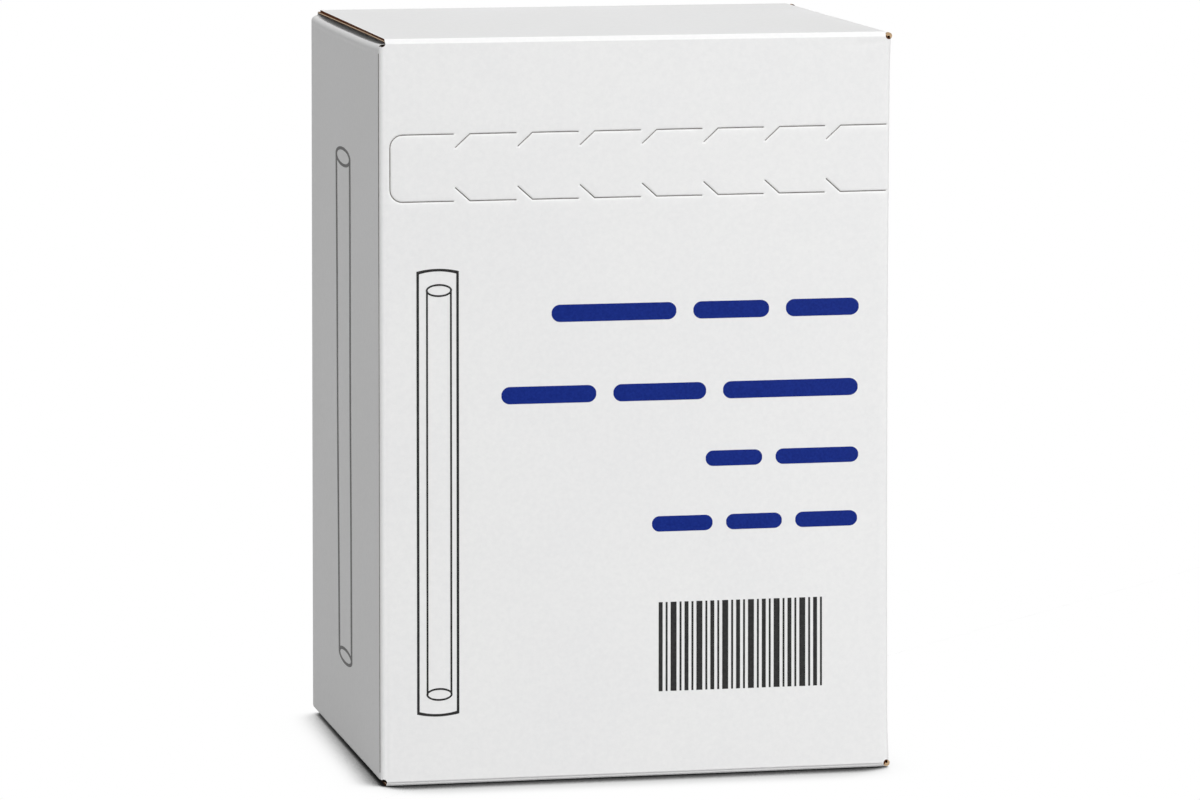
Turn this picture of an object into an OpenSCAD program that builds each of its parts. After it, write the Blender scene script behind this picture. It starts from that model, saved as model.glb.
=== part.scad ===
// Sealed folding carton for drinking straws, standing upright.
// One coated paperboard blank: four panels in a sleeve, closed at both ends by two
// glued side flaps under two full-width flaps, with a zipper tear strip near the top.
// Origin: middle of the base on the ground. Front panel faces -Y, side seam at -X, +Y.

/* [Carton] */
// Outside width, across the front panel
carton_w = 152.5; // [110:0.5:220]
// Outside depth, across the side panels
carton_d = 124; // [90:0.5:200]
// Outside height, from the ground to the top flap
carton_h = 219; // [150:0.5:320]

/* [Board] */
// Thickness of the coated board
board = 0.5; // [0.35:0.05:0.7]
// Outside radius of the upright folds between the panels
panel_fold_r = 1.2; // [0.8:0.1:1.6]
// Outside radius of the folds between the panels and the flaps
flap_fold_r = 1.6; // [1:0.1:2]

/* [Closures] */
// From a side panel's face in to the outer flap's edge, at the flap's fold
outer_flap_inset = 1.9; // [1.6:0.1:3]
// From a side panel's face in to the outer flap's edge, at its free end
outer_flap_free_inset = 2.8; // [1.6:0.1:5]
// From the back panel's face to the outer flap's free end
outer_flap_short = 1.2; // [0.8:0.1:3]
// From a side panel's face in to the inner flap's edge
inner_flap_inset = 2.1; // [1.6:0.1:4]
// From the front panel's inner face to the inner flap's free end
inner_flap_short = 0.8; // [0.3:0.1:3]
// Open height under the flaps along the side panels, at the top
top_crevice_h = 0.6; // [0.3:0.05:1.2]
// Open height over the flaps along the side panels, at the base, pressed shut by the load
base_crevice_h = 0.2; // [0.1:0.05:0.6]
// How far in from a side panel's face that opening closes to nothing
crevice_reach = 16; // [8:0.5:30]

/* [Corner reliefs] */
// Radius of the relief hole where four folds meet
relief_r = 1; // [0.7:0.05:1.3]
// How far below the end of the carton the relief hole's centre lies
relief_drop = 1.25; // [1:0.05:1.6]
// How deep the hole is open, down to the flap behind it
relief_depth = 1.3; // [1:0.1:4]

/* [Side seam] */
// From the back panel's face to the raw edge of the panel that laps the glue flap
seam_short = 1.3; // [0.8:0.1:2.5]

/* [Tear strip] */
// From the top of the carton down to the strip's upper cut line
strip_drop = 27.5; // [12:0.5:60]
// Height of the strip between its two cut lines
strip_h = 19.5; // [12:0.5:30]
// Width of a knife cut
cut_w = 0.3; // [0.2:0.05:0.5]
// From the seam side's fold to the strip's rounded end
strip_end_gap = 3.25; // [2:0.25:10]
// Radius of the corners at the strip's rounded end
strip_end_r = 3.7; // [2:0.1:5.5]
// Length of the plain stretch at each end of the strip, for the fingertips
strip_end_len = 18.7; // [10:0.1:30]
// Spacing of the hooked zipper cuts, rounded to a whole number on each panel
zip_pitch = 18.5; // [12:0.5:30]
// Uncut board between one zipper cut and the next
zip_nick = 0.55; // [0.3:0.05:1.2]
// Length of a hook's slanted leg along the strip
hook_run = 4.3; // [2:0.1:6]
// Height of a hook's slanted leg, towards the middle of the strip
hook_rise = 3.9; // [2:0.1:5.5]

/* [Hidden] */

$fn = 48;

// Overshoot of a cutter past the face that it cuts
clear = 1;

// Height range of the side panels, between their own end folds
side_base_z = 2 * board + base_crevice_h;
side_top_z = carton_h - 2 * board - top_crevice_h;

// Rectangle with round corners, centred
module rounded_rect(w, h, r) {
    square([w - 2 * r, h], center = true);
    square([w, h - 2 * r], center = true);
    for (x = [-1, 1], y = [-1, 1])
        translate([x * (w / 2 - r), y * (h / 2 - r)])
            circle(r);
}

// Plan of the sleeve. The left panel laps over the glue flap and ends in a raw edge.
module sleeve_plan() {
    translate([board / 2, 0])
        rounded_rect(carton_w - board, carton_d, panel_fold_r);
    intersection() {
        rounded_rect(carton_w, carton_d, panel_fold_r);
        translate([-carton_w / 2, -carton_d / 2])
            square([carton_w / 2, carton_d - seam_short]);
    }
}

// The four panels, up to the folds of the side flaps
module sleeve() {
    side_h = side_top_z - side_base_z;
    intersection() {
        linear_extrude(height = carton_h)
            sleeve_plan();
        translate([0, carton_d / 2, side_base_z + side_h / 2])
            rotate([90, 0, 0])
                linear_extrude(height = carton_d)
                    rounded_rect(carton_w, side_h, flap_fold_r);
    }
}

// Plan of an outer flap: hinged at the front, a little narrower at its free end
module outer_flap_plan() {
    fold_x = carton_w / 2 - outer_flap_inset;
    free_x = carton_w / 2 - outer_flap_free_inset;
    free_y = carton_d / 2 - outer_flap_short;
    polygon([
        [-fold_x, -carton_d / 2],
        [fold_x, -carton_d / 2],
        [free_x, free_y],
        [-free_x, free_y],
    ]);
}

// Front panel and the two outer flaps, one band folded round both front edges
module outer_wrap() {
    intersection() {
        linear_extrude(height = carton_h)
            outer_flap_plan();
        // Section along the depth, round at the two front folds and square at the back
        translate([-carton_w / 2, 0, carton_h / 2])
            rotate([90, 0, 90])
                linear_extrude(height = carton_w) {
                    rounded_rect(carton_d, carton_h, flap_fold_r);
                    translate([0, -carton_h / 2])
                        square([carton_d / 2, carton_h]);
                }
    }
}

// Back panel and the two inner flaps, one band folded round both back edges
module inner_wrap() {
    wrap_w = carton_w - 2 * inner_flap_inset;
    wrap_h = carton_h - 2 * board;
    wrap_d = carton_d - board - inner_flap_short;
    translate([-wrap_w / 2, (carton_d - wrap_d) / 2, carton_h / 2])
        rotate([90, 0, 90])
            linear_extrude(height = wrap_w) {
                rounded_rect(wrap_d, wrap_h, flap_fold_r);
                translate([-wrap_d / 2, -wrap_h / 2])
                    square([wrap_d / 2, wrap_h]);
            }
}

// Wedge between the inner flap and a side flap, which slopes up from its fold to meet it.
// Drawn for the top at +X, with the height at the side panel as its parameter.
module crevice(open_h) {
    flap_z = carton_h - 2 * board;
    translate([0, carton_d / 2 - board, 0])
        rotate([90, 0, 0])
            linear_extrude(height = carton_d - 2 * board)
                polygon([
                    [carton_w / 2 - crevice_reach, flap_z],
                    [carton_w / 2 - flap_fold_r, flap_z - open_h],
                    [carton_w / 2 + clear, flap_z - open_h],
                    [carton_w / 2 + clear, flap_z],
                ]);
}

// Round relief at the corner where the four folds meet, through both panels.
// Drawn for the top corner at +X, +Y.
module corner_relief() {
    translate([carton_w / 2 - relief_r, carton_d / 2 + clear, carton_h - relief_drop])
        rotate([90, 0, 0])
            cylinder(h = relief_depth + clear, r = relief_r);
    translate([carton_w / 2 - relief_depth, carton_d / 2 - relief_r, carton_h - relief_drop])
        rotate([0, 90, 0])
            cylinder(h = relief_depth + clear, r = relief_r);
}

// Copies what is drawn for the top to the base as well
module both_ends() {
    children();
    translate([0, 0, carton_h])
        mirror([0, 0, 1])
            children();
}

// Copies what is drawn for +X to -X as well
module both_sides() {
    children();
    mirror([1, 0, 0])
        children();
}

// Copies what is drawn for +Y to -Y as well
module front_and_back() {
    children();
    mirror([0, 1, 0])
        children();
}

// Copies a cut on the strip's upper line to its lower line
module both_lines() {
    children();
    mirror([0, 1])
        children();
}

// One hooked zipper cut: a slanted leg up to the cut line, then the line to the next nick
module zipper_cut(length) {
    leg = sqrt(hook_run * hook_run + hook_rise * hook_rise);
    line_v = strip_h / 2;
    translate([zip_nick, line_v - hook_rise])
        rotate(atan2(hook_rise, hook_run))
            translate([0, -cut_w / 2])
                square([leg, cut_w]);
    translate([zip_nick + hook_run, line_v - cut_w / 2])
        square([length - zip_nick - hook_run, cut_w]);
}

// Row of zipper cuts on both lines, from start to stop along a panel
module zipper_run(start, stop) {
    count = max(1, round((stop - start) / zip_pitch));
    pitch = (stop - start) / count;
    both_lines()
        for (i = [0:count - 1])
            translate([start + i * pitch, 0])
                zipper_cut(pitch);
}

// Rounded end of the strip, from its outermost point to the first zipper cut
module strip_end() {
    both_lines() {
        translate([strip_end_r, strip_h / 2 - cut_w / 2])
            square([strip_end_len - strip_end_r, cut_w]);
        translate([-cut_w / 2, 0])
            square([cut_w, strip_h / 2 - strip_end_r]);
        translate([strip_end_r, strip_h / 2 - strip_end_r])
            intersection() {
                difference() {
                    circle(strip_end_r + cut_w / 2);
                    circle(strip_end_r - cut_w / 2);
                }
                translate([-2 * strip_end_r, 0])
                    square(2 * strip_end_r);
            }
    }
}

// Cuts a drawing through the board of the panel that faces -Y after a turn about Z
module cut_panel(turn, face_distance) {
    rotate(turn)
        translate([0, board - face_distance, carton_h - strip_drop - strip_h / 2])
            rotate([90, 0, 0])
                linear_extrude(height = board + clear)
                    children();
}

// The strip's cuts: front panel, right panel, back panel, with a rounded end near the seam
module tear_strip() {
    front_half = carton_w / 2 - panel_fold_r;
    side_half = carton_d / 2 - panel_fold_r;
    end_u = carton_w / 2 - strip_end_gap;
    cut_panel(0, carton_d / 2) {
        translate([-end_u, 0])
            strip_end();
        zipper_run(strip_end_len - end_u, front_half);
    }
    cut_panel(90, carton_w / 2)
        zipper_run(-side_half, side_half);
    cut_panel(180, carton_d / 2) {
        zipper_run(-front_half, end_u - strip_end_len);
        translate([end_u, 0])
            mirror([1, 0])
                strip_end();
    }
}

// The closed carton, glued shut round its contents
module carton() {
    color([0.93, 0.93, 0.93])
        difference() {
            union() {
                sleeve();
                outer_wrap();
                inner_wrap();
            }
            both_sides() {
                crevice(top_crevice_h);
                translate([0, 0, carton_h])
                    mirror([0, 0, 1])
                        crevice(base_crevice_h);
            }
            both_ends()
                both_sides()
                    front_and_back()
                        corner_relief();
            tear_strip();
        }
}

carton();
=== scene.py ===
"""Looks of the sealed carton for drinking straws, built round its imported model.

Lengths are in millimetres in the part's frame and become metres where a mesh is made.
The front panel faces -Y and the side seam is at -X, +Y.
"""

import math

import bmesh
import bpy
import numpy as np
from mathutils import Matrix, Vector
from mathutils.geometry import delaunay_2d_cdt

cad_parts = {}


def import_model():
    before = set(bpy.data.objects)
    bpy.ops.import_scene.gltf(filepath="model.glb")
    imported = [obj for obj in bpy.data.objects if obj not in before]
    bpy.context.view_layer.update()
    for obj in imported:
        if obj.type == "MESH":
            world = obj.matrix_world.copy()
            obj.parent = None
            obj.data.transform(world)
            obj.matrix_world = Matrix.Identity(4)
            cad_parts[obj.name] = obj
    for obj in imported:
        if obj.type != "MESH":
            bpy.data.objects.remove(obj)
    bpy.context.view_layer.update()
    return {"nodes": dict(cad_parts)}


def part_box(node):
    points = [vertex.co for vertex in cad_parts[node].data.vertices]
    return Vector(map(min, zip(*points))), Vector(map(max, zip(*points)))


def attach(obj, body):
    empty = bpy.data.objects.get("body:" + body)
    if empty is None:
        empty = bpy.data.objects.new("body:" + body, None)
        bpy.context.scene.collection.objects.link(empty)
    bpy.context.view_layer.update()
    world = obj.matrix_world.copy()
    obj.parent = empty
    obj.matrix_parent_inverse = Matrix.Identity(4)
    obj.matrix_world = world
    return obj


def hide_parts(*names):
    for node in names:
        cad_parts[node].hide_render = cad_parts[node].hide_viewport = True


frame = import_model()

MM = 0.001

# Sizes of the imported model
low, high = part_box("carton")
WIDTH, DEPTH, HEIGHT = (high - low) / MM
HALF_W = WIDTH / 2
HALF_D = DEPTH / 2

# Board and folds, as in the part's source
BOARD = 0.5
PANEL_FOLD_R = 1.2
FLAP_FOLD_R = 1.6
OUTER_FLAP_INSET = 1.9
OUTER_FLAP_FREE_INSET = 2.8
OUTER_FLAP_SHORT = 1.2
TOP_CREVICE_H = 0.6
BASE_CREVICE_H = 0.2
CREVICE_REACH = 16
SEAM_SHORT = 1.3
RELIEF_R = 1
RELIEF_DROP = 1.25
RELIEF_DEPTH = 1.3

# Height range of the side panels, between their own end folds
SIDE_BASE_Z = 2 * BOARD + BASE_CREVICE_H
SIDE_TOP_Z = HEIGHT - 2 * BOARD - TOP_CREVICE_H

# Tear strip, as in the part's source
STRIP_DROP = 27.5
STRIP_HALF = 19.5 / 2
STRIP_Z = HEIGHT - STRIP_DROP - STRIP_HALF
STRIP_END_GAP = 3.25
STRIP_END_R = 3.7
STRIP_END_LEN = 18.7
ZIP_PITCH = 18.5
ZIP_NICK = 0.55
HOOK_RUN = 4.3
HOOK_RISE = 3.9

# Section of a knife cut: distance from its middle, and depth of the board's surface there
CUT_HALF = 0.15
CUT_SECTION = [(0.0, 0.48), (CUT_HALF, 0.28), (0.55, 0.06), (0.85, 0.0)]
# Share of the lip's depth above a cut and below it: the die pressed the lower lip down further
LIP_ABOVE = 0.2
LIP_BELOW = 1.0
# How much the strip's lines climb towards the right across the front, as a share of the way
STRIP_CLIMB = 0.0043

# Height of the band round the carton that is meshed again for the cuts
STRIP_BAND_HALF = STRIP_HALF + 5
# The skin down to this depth follows the panels, and deeper than the second value nothing does
SKIN = 0.8
STILL = 3.0

# Spacing of the mesh on the flat panels
GRID = 5.0


class Panel:
    """A panel: where its middle line stands, which way u runs and it faces, and half its width."""

    def __init__(self, origin, across, outward, half):
        self.origin = np.array(origin, float)
        self.across = np.array(across, float)
        self.outward = np.array(outward, float)
        self.half = half

    def place(self, u, v, out=0.0):
        """Points in the part's frame for places on the panel."""
        u, v = np.broadcast_arrays(np.asarray(u, float), np.asarray(v, float))
        up = np.array([0.0, 0.0, 1.0])
        out = np.broadcast_to(np.asarray(out, float), u.shape)
        return (self.origin + u[..., None] * self.across + v[..., None] * up
                + out[..., None] * self.outward)

    def coordinates(self, points):
        """Across, up and depth below the face, for points in the part's frame."""
        offset = points - self.origin
        return offset @ self.across, points[:, 2], -(offset @ self.outward)


PANELS = {
    "front": Panel((0, -HALF_D, 0), (1, 0, 0), (0, -1, 0), HALF_W),
    "right": Panel((HALF_W, 0, 0), (0, 1, 0), (1, 0, 0), HALF_D),
    "back": Panel((0, HALF_D, 0), (-1, 0, 0), (0, 1, 0), HALF_W),
    "left": Panel((-HALF_W, 0, 0), (0, -1, 0), (-1, 0, 0), HALF_D),
}


# Cuts of the tear strip, as lines on each panel

def zipper_run(start, stop):
    """Hooked cuts on both lines of the strip, from start to stop along a panel."""
    count = max(1, round((stop - start) / ZIP_PITCH))
    pitch = (stop - start) / count
    lines = []
    for side in (1, -1):
        line_v = STRIP_Z + side * STRIP_HALF
        foot_v = line_v - side * HOOK_RISE
        for i in range(count):
            foot_u = start + i * pitch + ZIP_NICK
            lines.append([(foot_u, foot_v), (foot_u + HOOK_RUN, line_v), (start + (i + 1) * pitch, line_v)])
    return lines


def strip_end(end_u, way):
    """The strip's rounded end at end_u, open towards way."""
    corner = np.radians(np.linspace(0, 90, 7))
    run = STRIP_END_R * (1 - np.sin(corner))
    rise = STRIP_HALF - STRIP_END_R * (1 - np.cos(corner))
    upper = [(STRIP_END_LEN, STRIP_HALF)] + list(zip(run, rise))
    lower = [(u, -v) for u, v in reversed(upper)]
    return [(end_u + way * u, STRIP_Z + v) for u, v in upper + lower]


FRONT_RUN = HALF_W - PANEL_FOLD_R
SIDE_RUN = HALF_D - PANEL_FOLD_R
END_U = HALF_W - STRIP_END_GAP
CUTS = {
    "front": [strip_end(-END_U, 1)] + zipper_run(STRIP_END_LEN - END_U, FRONT_RUN),
    "right": zipper_run(-SIDE_RUN, SIDE_RUN),
    "back": [strip_end(END_U, -1)] + zipper_run(-FRONT_RUN, END_U - STRIP_END_LEN),
    "left": [],
}


def way_from_lines(points, lines):
    """The way to each point from the nearest place on any of the lines."""
    way = np.full((len(points), 2), 1e3)
    for line in lines:
        for start, stop in zip(line[:-1], line[1:]):
            start, stop = np.array(start), np.array(stop)
            along = stop - start
            share = np.clip((points - start) @ along / (along @ along), 0, 1)
            offset = points - start - share[:, None] * along
            nearer = np.linalg.norm(offset, axis=1) < np.linalg.norm(way, axis=1)
            way[nearer] = offset[nearer]
    return way


def distance_to_lines(points, lines):
    """Distance of each point to the nearest of the lines."""
    return np.linalg.norm(way_from_lines(points, lines), axis=1)


def cut_depth(points, lines):
    """How far the skin dips at each point beside a cut and in it."""
    way = way_from_lines(points, lines)
    distance = np.linalg.norm(way, axis=1)
    at, below = zip(*CUT_SECTION)
    dip = np.interp(distance, at, below)
    upward = way[:, 1] / np.maximum(distance, 1e-6)
    lip = LIP_BELOW + (LIP_ABOVE - LIP_BELOW) * (upward + 1) / 2
    return np.where(distance < CUT_HALF - 0.01, dip, dip * lip)


# Small shapes of the board: bow, creases beside the folds, waviness and dents

def smooth(low_edge, high_edge, value):
    """0 below the low edge, 1 above the high edge and a smooth step between."""
    share = np.clip((value - low_edge) / (high_edge - low_edge), 0, 1)
    return share * share * (3 - 2 * share)


def bump_at(u, v, centre_u, centre_v, half_u, half_v, turn):
    """A smooth round hump of height 1, turned by an angle in degrees."""
    cos, sin = math.cos(math.radians(turn)), math.sin(math.radians(turn))
    along = ((u - centre_u) * cos + (v - centre_v) * sin) / half_u
    across = ((v - centre_v) * cos - (u - centre_u) * sin) / half_v
    return np.exp(-(along ** 2 + across ** 2))


PANEL_BOW = {"front": 0.35, "right": -0.3, "back": 0.3, "left": 0.12}
PANEL_PHASE = {"front": 0.4, "right": 1.9, "back": 3.1, "left": 4.6}
# A crease runs beside each fold, with a low ridge next to it
CREASE_AT = 2.0
CREASE_DEPTH = 0.05
CREASE_HALF = 0.35
RIDGE_AT = 2.9
RIDGE_HEIGHT = 0.035
RIDGE_HALF = 0.55
WAVE = 0.035
# Dents of each panel: depth, middle across and up, half length, half width and turn in degrees. The front
# has a soft dent under its top fold at the right, and a slight wrinkle by its left fold.
DENTS = {
    "front": [(0.16, 69.5, 215.6, 4.5, 0.75, 8), (0.10, -71.4, 188.3, 0.9, 2.6, -12)],
    "left": [(0.12, 44, 205, 11, 5, 20)],
}


def crease(from_fold):
    """How far the skin stands out at a distance from where the folded panel would end."""
    groove = CREASE_DEPTH * np.exp(-((from_fold - CREASE_AT) / CREASE_HALF) ** 2)
    return RIDGE_HEIGHT * np.exp(-((from_fold - RIDGE_AT) / RIDGE_HALF) ** 2) - groove


def relief(name, u, v):
    """How far the skin of a panel stands out from its flat shape, without the cuts."""
    half = PANELS[name].half
    from_side = half - np.abs(u)
    from_end = np.minimum(v, HEIGHT - v)
    inside = smooth(1.0, 14, from_side) * smooth(1.5, 14, from_end)
    bow_across = np.clip(1 - (u / half) ** 2, 0, 1)
    bow_up = np.clip(1 - (2 * v / HEIGHT - 1) ** 4, 0, 1)
    creases = crease(from_side) * smooth(2, 6, from_end)
    if name in ("left", "right"):
        creases += crease(SIDE_TOP_Z - v) * smooth(2, 6, from_side)
    phase = PANEL_PHASE[name]
    wave = np.sin(u / 9.1 + phase) * np.sin(v / 13.7 + 2 * phase)
    wave += 0.6 * np.sin(u / 23 - v / 17 + 3 * phase) + 0.5 * np.sin(v / 31 + phase)
    out = PANEL_BOW[name] * bow_across * bow_up + creases + WAVE * wave * inside
    for depth, *shape in DENTS.get(name, []):
        out -= depth * bump_at(u, v, *shape)
    return out


# Lean and bow of the whole carton
LEAN = 0.27
RIGHT_BOW = 0.4
# How much wider the right fold stands, and how far the flaps at each end push the right side out
RIGHT_WIDE = 0.4
BASE_FLARE = 0.33
TOP_FLARE = 0.22
# How much wider the base stands at the seam
SEAM_WIDE = 0.3
# How far the side panels' top folds sag at the middle of the depth, and their flaps behind the folds
SAG = 0.55
HOLLOW = 0.6


def settle(points):
    """Moves points of the whole carton: a slight taper, the right side's bow and the wider stretches."""
    points = points.copy()
    share = points[:, 0] / HALF_W
    level = 2 * points[:, 2] / HEIGHT - 1
    points[:, 0] -= share * LEAN * level
    points[:, 0] -= np.clip(share, 0, 1) * RIGHT_BOW * (1 - level ** 2)
    seam = SEAM_WIDE * smooth(-HALF_D, HALF_D, points[:, 1]) * (1 - level) / 2
    points[:, 0] += np.clip(share, -1, 0) * seam
    flare = BASE_FLARE * (1 - smooth(3, 14, points[:, 2]))
    flare += TOP_FLARE * (1 - smooth(3, 9, HEIGHT - points[:, 2]))
    points[:, 0] += np.clip(share, 0, 1) * flare + RIGHT_WIDE * smooth(0.8, 0.97, share)
    return points


def climb(points):
    """How far the strip's lines stand above level: the die ran slightly out of square on the front."""
    near = 1 - smooth(STRIP_HALF + 2, STRIP_HALF + 16, np.abs(points[:, 2] - STRIP_Z))
    return STRIP_CLIMB * points[:, 0] * near * (HALF_D - points[:, 1]) / DEPTH


def sag(points):
    """How far each point sinks with the top fold of a side panel and the hollow behind it."""
    from_middle = np.abs(points[:, 0]) - (HALF_W - CREVICE_REACH)
    near_side = np.clip(from_middle / (CREVICE_REACH - FLAP_FOLD_R), 0, 1)
    under_flap = points[:, 2] < HEIGHT - 2 * BOARD - 0.001
    near_top = smooth(HEIGHT - 12, HEIGHT - 3, points[:, 2])
    arch = np.clip(1 - (points[:, 1] / (HALF_D - 3)) ** 4, 0, 1)
    behind = HALF_W - FLAP_FOLD_R - np.abs(points[:, 0])
    hollow = HOLLOW * smooth(-0.8, 1.0, behind) * (1 - smooth(5, 13, behind)) * np.sqrt(arch)
    return (SAG * near_side * arch + hollow) * near_top * under_flap


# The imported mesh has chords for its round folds, which dip this far in from the arcs at most
CHORD_DIP = 0.065


def fold_arcs():
    """Round folds: the two axes of the section, the arc's centre, the way it faces and its radius."""
    side, end = HALF_W - PANEL_FOLD_R, HALF_D - PANEL_FOLD_R
    arcs = []
    for x, y in ((side, -end), (-side, -end), (side, end), (BOARD - side, end)):
        arcs.append(((0, 1), (x, y), (np.sign(x), np.sign(y)), PANEL_FOLD_R))
    for way in (1, -1):
        x = way * (HALF_W - FLAP_FOLD_R)
        arcs.append(((0, 2), (x, SIDE_TOP_Z - FLAP_FOLD_R), (way, 1), FLAP_FOLD_R))
        arcs.append(((0, 2), (x, SIDE_BASE_Z + FLAP_FOLD_R), (way, -1), FLAP_FOLD_R))
    for way, inset in ((-1, 0), (1, BOARD)):
        y = way * (HALF_D - FLAP_FOLD_R)
        arcs.append(((1, 2), (y, HEIGHT - inset - FLAP_FOLD_R), (way, 1), FLAP_FOLD_R))
        arcs.append(((1, 2), (y, inset + FLAP_FOLD_R), (way, -1), FLAP_FOLD_R))
    return arcs


def round_folds(points):
    """Puts the points on the chords of the round folds out onto their arcs."""
    points = points.copy()
    for axes, centre, way, radius in fold_arcs():
        offset = points[:, axes] - np.array(centre)
        reach = np.linalg.norm(offset, axis=1)
        on_chord = (offset * way > 0).all(axis=1) & (reach > radius - CHORD_DIP) & (reach < radius)
        points[np.ix_(on_chord, axes)] += offset[on_chord] * (radius / reach[on_chord] - 1)[:, None]
    return points


# The top front fold was creased flat, onto a chord with this many degrees from its middle to its end
FLAT_HALF = 37


def flatten(points):
    """Presses the round of the top front fold flat."""
    points = points.copy()
    run = FLAP_FOLD_R + np.column_stack([-HALF_D - points[:, 1], points[:, 2] - HEIGHT])
    reach = np.maximum(np.linalg.norm(run, axis=1), 1e-6)
    off = np.radians(np.degrees(np.arctan2(run[:, 1], run[:, 0])) - 45)
    pressed = (run > 0).all(axis=1) & (reach > FLAP_FOLD_R - 0.01) & (np.abs(off) < math.radians(FLAT_HALF))
    chord = math.cos(math.radians(FLAT_HALF)) / np.cos(off[pressed])
    change = (chord - 1) * FLAP_FOLD_R / reach[pressed]
    points[pressed, 1] -= change * run[pressed, 0]
    points[pressed, 2] += change * run[pressed, 1]
    return points


# The front's upright folds are rounder than the die's crease: outside radius at the left and at the right
SOFT_FOLD_R = {-1: 1.6, 1: 2.2}


def soften(points):
    """Rounds the front's two upright folds to their wider radius."""
    points = points.copy()
    for side, radius in SOFT_FOLD_R.items():
        run = radius + np.column_stack([side * points[:, 0] - HALF_W, -HALF_D - points[:, 1]])
        reach = np.maximum(np.linalg.norm(run, axis=1), 1e-6)
        outside = (run > 0).all(axis=1) & (reach > radius)
        change = (radius / reach[outside] - 1)[:, None] * run[outside]
        points[outside, :2] += change * np.array([side, -1])
    return points


# Score line of the left fold: degrees round its arc, half width, width of its walls, and depth
LEFT_SCORE = (69, 7, 2.0, 0.45)
# Distances from the carton's ends between which that line runs out
SCORE_FADE = (3, 5)
# Score line of the base's front fold: degrees round its arc, half width and depth
BASE_SCORE = (26, 5, 0.1)


def score(points):
    """The way that each point sinks into a score line."""
    sunk = np.zeros_like(points)
    radius = SOFT_FOLD_R[-1]
    run = radius + np.column_stack([-HALF_W - points[:, 0], -HALF_D - points[:, 1]])
    reach = np.maximum(np.linalg.norm(run, axis=1), 1e-6)
    turn = np.degrees(np.arctan2(run[:, 0], run[:, 1]))
    at, half, wall, depth = LEFT_SCORE
    dip = depth * (1 - smooth(half - wall, half - 0.1, np.abs(turn - at)))
    dip *= (run > 0).all(axis=1) & (reach > radius - 0.02)
    dip *= smooth(*SCORE_FADE, np.minimum(points[:, 2], HEIGHT - points[:, 2]))
    sunk[:, :2] += dip[:, None] * run / reach[:, None]
    run = FLAP_FOLD_R + np.column_stack([-HALF_D - points[:, 1], -points[:, 2]])
    reach = np.maximum(np.linalg.norm(run, axis=1), 1e-6)
    turn = np.degrees(np.arctan2(run[:, 1], run[:, 0]))
    at, half, depth = BASE_SCORE
    dip = depth * np.exp(-((turn - at) / half) ** 2)
    dip *= smooth(1, 4, HALF_W - OUTER_FLAP_INSET - np.abs(points[:, 0]))
    dip *= (run > 0).all(axis=1) & (reach > FLAP_FOLD_R - 0.1)
    sunk[:, 1:] += dip[:, None] * run / reach[:, None]
    return sunk


def deform(points):
    """The carton's small shapes, for points of the flat construction."""
    points = soften(flatten(round_folds(points)))
    moved = points + score(points)
    for name, panel in PANELS.items():
        u, v, depth = panel.coordinates(points)
        weight = 1 - smooth(SKIN, STILL, depth)
        out = weight * relief(name, u, v) - (depth < SKIN) * cut_depth(np.column_stack([u, v]), CUTS[name])
        moved += out[:, None] * panel.outward
    moved[:, 2] += climb(points) - sag(points)
    return settle(moved)


# The carton's mesh

# Surfaces of the board, in the order of the carton's materials. The pale one is a band painted as a
# highlight on a flap's edge, the near-black one is painted shade in crevices and holes, and the last is
# coat painted brighter as a highlight.
COAT, RAW_EDGE, PALE, PAINTED_SHADE, CUT, PAINTED_HIGHLIGHT = range(6)

# A point this near a cutting plane counts as on it
ON_PLANE = 0.02

# Degrees round the front's left fold where it is cut for its score line
SCORE_OUT = (0, LEFT_SCORE[1] - LEFT_SCORE[2], LEFT_SCORE[1])
SCORE_TURNS = [LEFT_SCORE[0] + side * out for side in (1, -1) for out in SCORE_OUT]


def bisect(bm, axis, at):
    """Cuts every face that crosses a plane at a place along an axis."""
    normal = Vector([1.0 if i == axis else 0.0 for i in range(3)])
    geometry = bm.verts[:] + bm.edges[:] + bm.faces[:]
    bmesh.ops.bisect_plane(bm, geom=geometry, dist=ON_PLANE, plane_co=normal * at, plane_no=normal)


def before_soft(turn):
    """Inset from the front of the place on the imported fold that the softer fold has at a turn."""
    turn = math.radians(turn)
    wide, shift = SOFT_FOLD_R[-1], SOFT_FOLD_R[-1] - PANEL_FOLD_R
    # Along the ray from the softer fold's centre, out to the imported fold's arc about its own centre
    across, along = math.sin(turn), math.cos(turn)
    middle = shift * (across + along)
    out = middle + math.sqrt(middle ** 2 - 2 * shift ** 2 + PANEL_FOLD_R ** 2)
    return wide - out * along


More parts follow.
